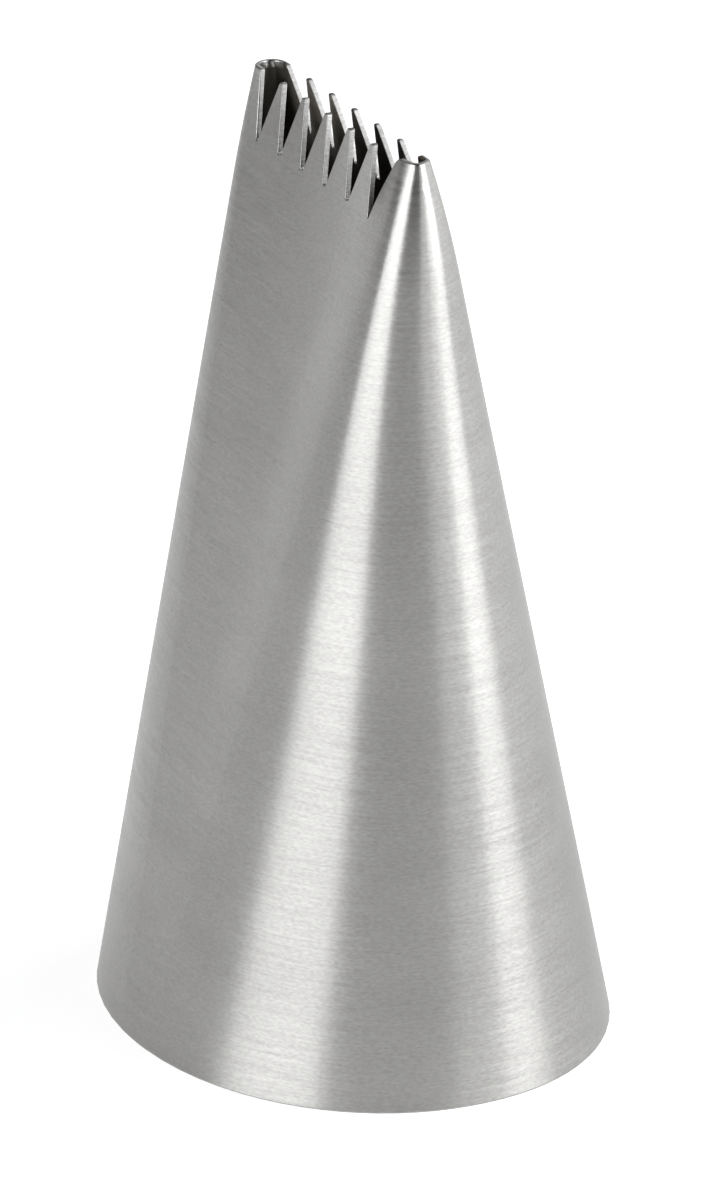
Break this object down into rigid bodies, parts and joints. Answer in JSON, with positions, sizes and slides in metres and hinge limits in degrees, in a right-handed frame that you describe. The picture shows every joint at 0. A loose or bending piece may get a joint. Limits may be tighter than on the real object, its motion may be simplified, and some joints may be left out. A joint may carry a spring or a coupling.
{
  "type": "piping nozzle",
  "caption": "Seamless metal piping nozzle: a hollow cone pressed flat to a slot mouth with a saw-toothed rim, for piping wide ribbed ribbons and logs.",
  "frame": {"origin": "middle of the open base, in the plane that the nozzle stands on", "axes": "+Z from the open base up to the toothed mouth, X along the slot of the mouth, Y through its two long walls"},
  "size_m": [0.0328, 0.0272, 0.052],
  "materials": {
    "brushed_stainless": "satin, with fine brush lines running round the cone"
  },
  "bodies": {
    "root": {"nozzle_shell": "brushed_stainless"}
  },
  "joints": []
}
